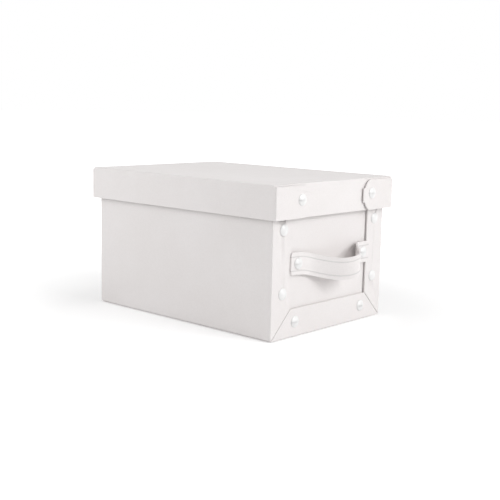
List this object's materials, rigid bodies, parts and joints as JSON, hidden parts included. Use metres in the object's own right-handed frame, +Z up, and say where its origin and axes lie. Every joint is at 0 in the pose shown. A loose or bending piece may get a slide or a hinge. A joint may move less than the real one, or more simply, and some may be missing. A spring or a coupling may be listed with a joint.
{
  "type": "archival box",
  "caption": "White flat-pack archival box of fibreboard with a slip lid, end flaps held by press studs and a stitched strap handle.",
  "frame": {"origin": "middle of the box's underside, on the floor", "axes": "+Z up, -Y out of the end with the handle, +X to the right of someone facing away from the handle end, Y along the box"},
  "size_m": [0.25, 0.3755, 0.198],
  "materials": {
    "board": "white leather-grain paper over fibreboard, satin",
    "strap": "white grained artificial leather, two layers stitched along the edges",
    "stud_plastic": "glossy white moulded cap",
    "stud_hardware": "glossy white moulded plastic"
  },
  "bodies": {
    "box": {"base_panel": "board", "left_side_panel": "board", "right_side_panel": "board", "front_end_panel": "board", "back_end_panel": "board", "front_left_flap": "board", "front_right_flap": "board", "back_left_flap": "board", "back_right_flap": "board", "side_flap_caps": "stud_plastic", "side_flap_sockets": "stud_hardware", "panel_studs": "stud_hardware", "panel_rivets": "stud_hardware", "handle_strap": "strap", "handle_caps": "stud_plastic", "handle_sockets": "stud_hardware", "handle_studs": "stud_hardware", "handle_rivets": "stud_hardware"},
    "lid": {"lid_top_panel": "board", "lid_left_skirt": "board", "lid_right_skirt": "board", "lid_front_skirt": "board", "lid_back_skirt": "board", "lid_studs": "stud_hardware", "lid_rivets": "stud_hardware"},
    "front_bottom_flap": {"front_bottom_flap": "board", "front_bottom_flap_caps": "stud_plastic", "front_bottom_flap_sockets": "stud_hardware"},
    "lid_front_left_tab": {"lid_front_left_tab": "board", "lid_front_left_cap": "stud_plastic", "lid_front_left_socket": "stud_hardware"},
    "lid_front_right_tab": {"lid_front_right_tab": "board", "lid_front_right_cap": "stud_plastic", "lid_front_right_socket": "stud_hardware"},
    "back_bottom_flap": {"back_bottom_flap": "board", "back_bottom_flap_caps": "stud_plastic", "back_bottom_flap_sockets": "stud_hardware"},
    "lid_back_left_tab": {"lid_back_left_tab": "board", "lid_back_left_cap": "stud_plastic", "lid_back_left_socket": "stud_hardware"},
    "lid_back_right_tab": {"lid_back_right_tab": "board", "lid_back_right_cap": "stud_plastic", "lid_back_right_socket": "stud_hardware"}
  },
  "joints": [
    {"name": "lid_lift", "type": "slide", "parent": "box", "child": "lid", "axis": [0, 0, 1], "range_m": [0, 0.24]},
    {"name": "front_bottom_flap_fold", "type": "hinge", "parent": "box", "child": "front_bottom_flap", "pos_m": [0, -0.164, 0.001], "axis": [1, 0, 0], "range_deg": [0, 88]},
    {"name": "lid_front_left_tab_fold", "type": "hinge", "parent": "lid", "child": "lid_front_left_tab", "pos_m": [-0.124, -0.174, 0.1745], "axis": [0, 0, -1], "range_deg": [0, 90]},
    {"name": "lid_front_right_tab_fold", "type": "hinge", "parent": "lid", "child": "lid_front_right_tab", "pos_m": [0.124, -0.174, 0.1745], "axis": [0, 0, 1], "range_deg": [0, 90]},
    {"name": "back_bottom_flap_fold", "type": "hinge", "parent": "box", "child": "back_bottom_flap", "pos_m": [0, 0.164, 0.001], "axis": [-1, 0, 0], "range_deg": [0, 88]},
    {"name": "lid_back_left_tab_fold", "type": "hinge", "parent": "lid", "child": "lid_back_left_tab", "pos_m": [-0.124, 0.174, 0.1745], "axis": [0, 0, 1], "range_deg": [0, 90]},
    {"name": "lid_back_right_tab_fold", "type": "hinge", "parent": "lid", "child": "lid_back_right_tab", "pos_m": [0.124, 0.174, 0.1745], "axis": [0, 0, -1], "range_deg": [0, 90]}
  ]
}
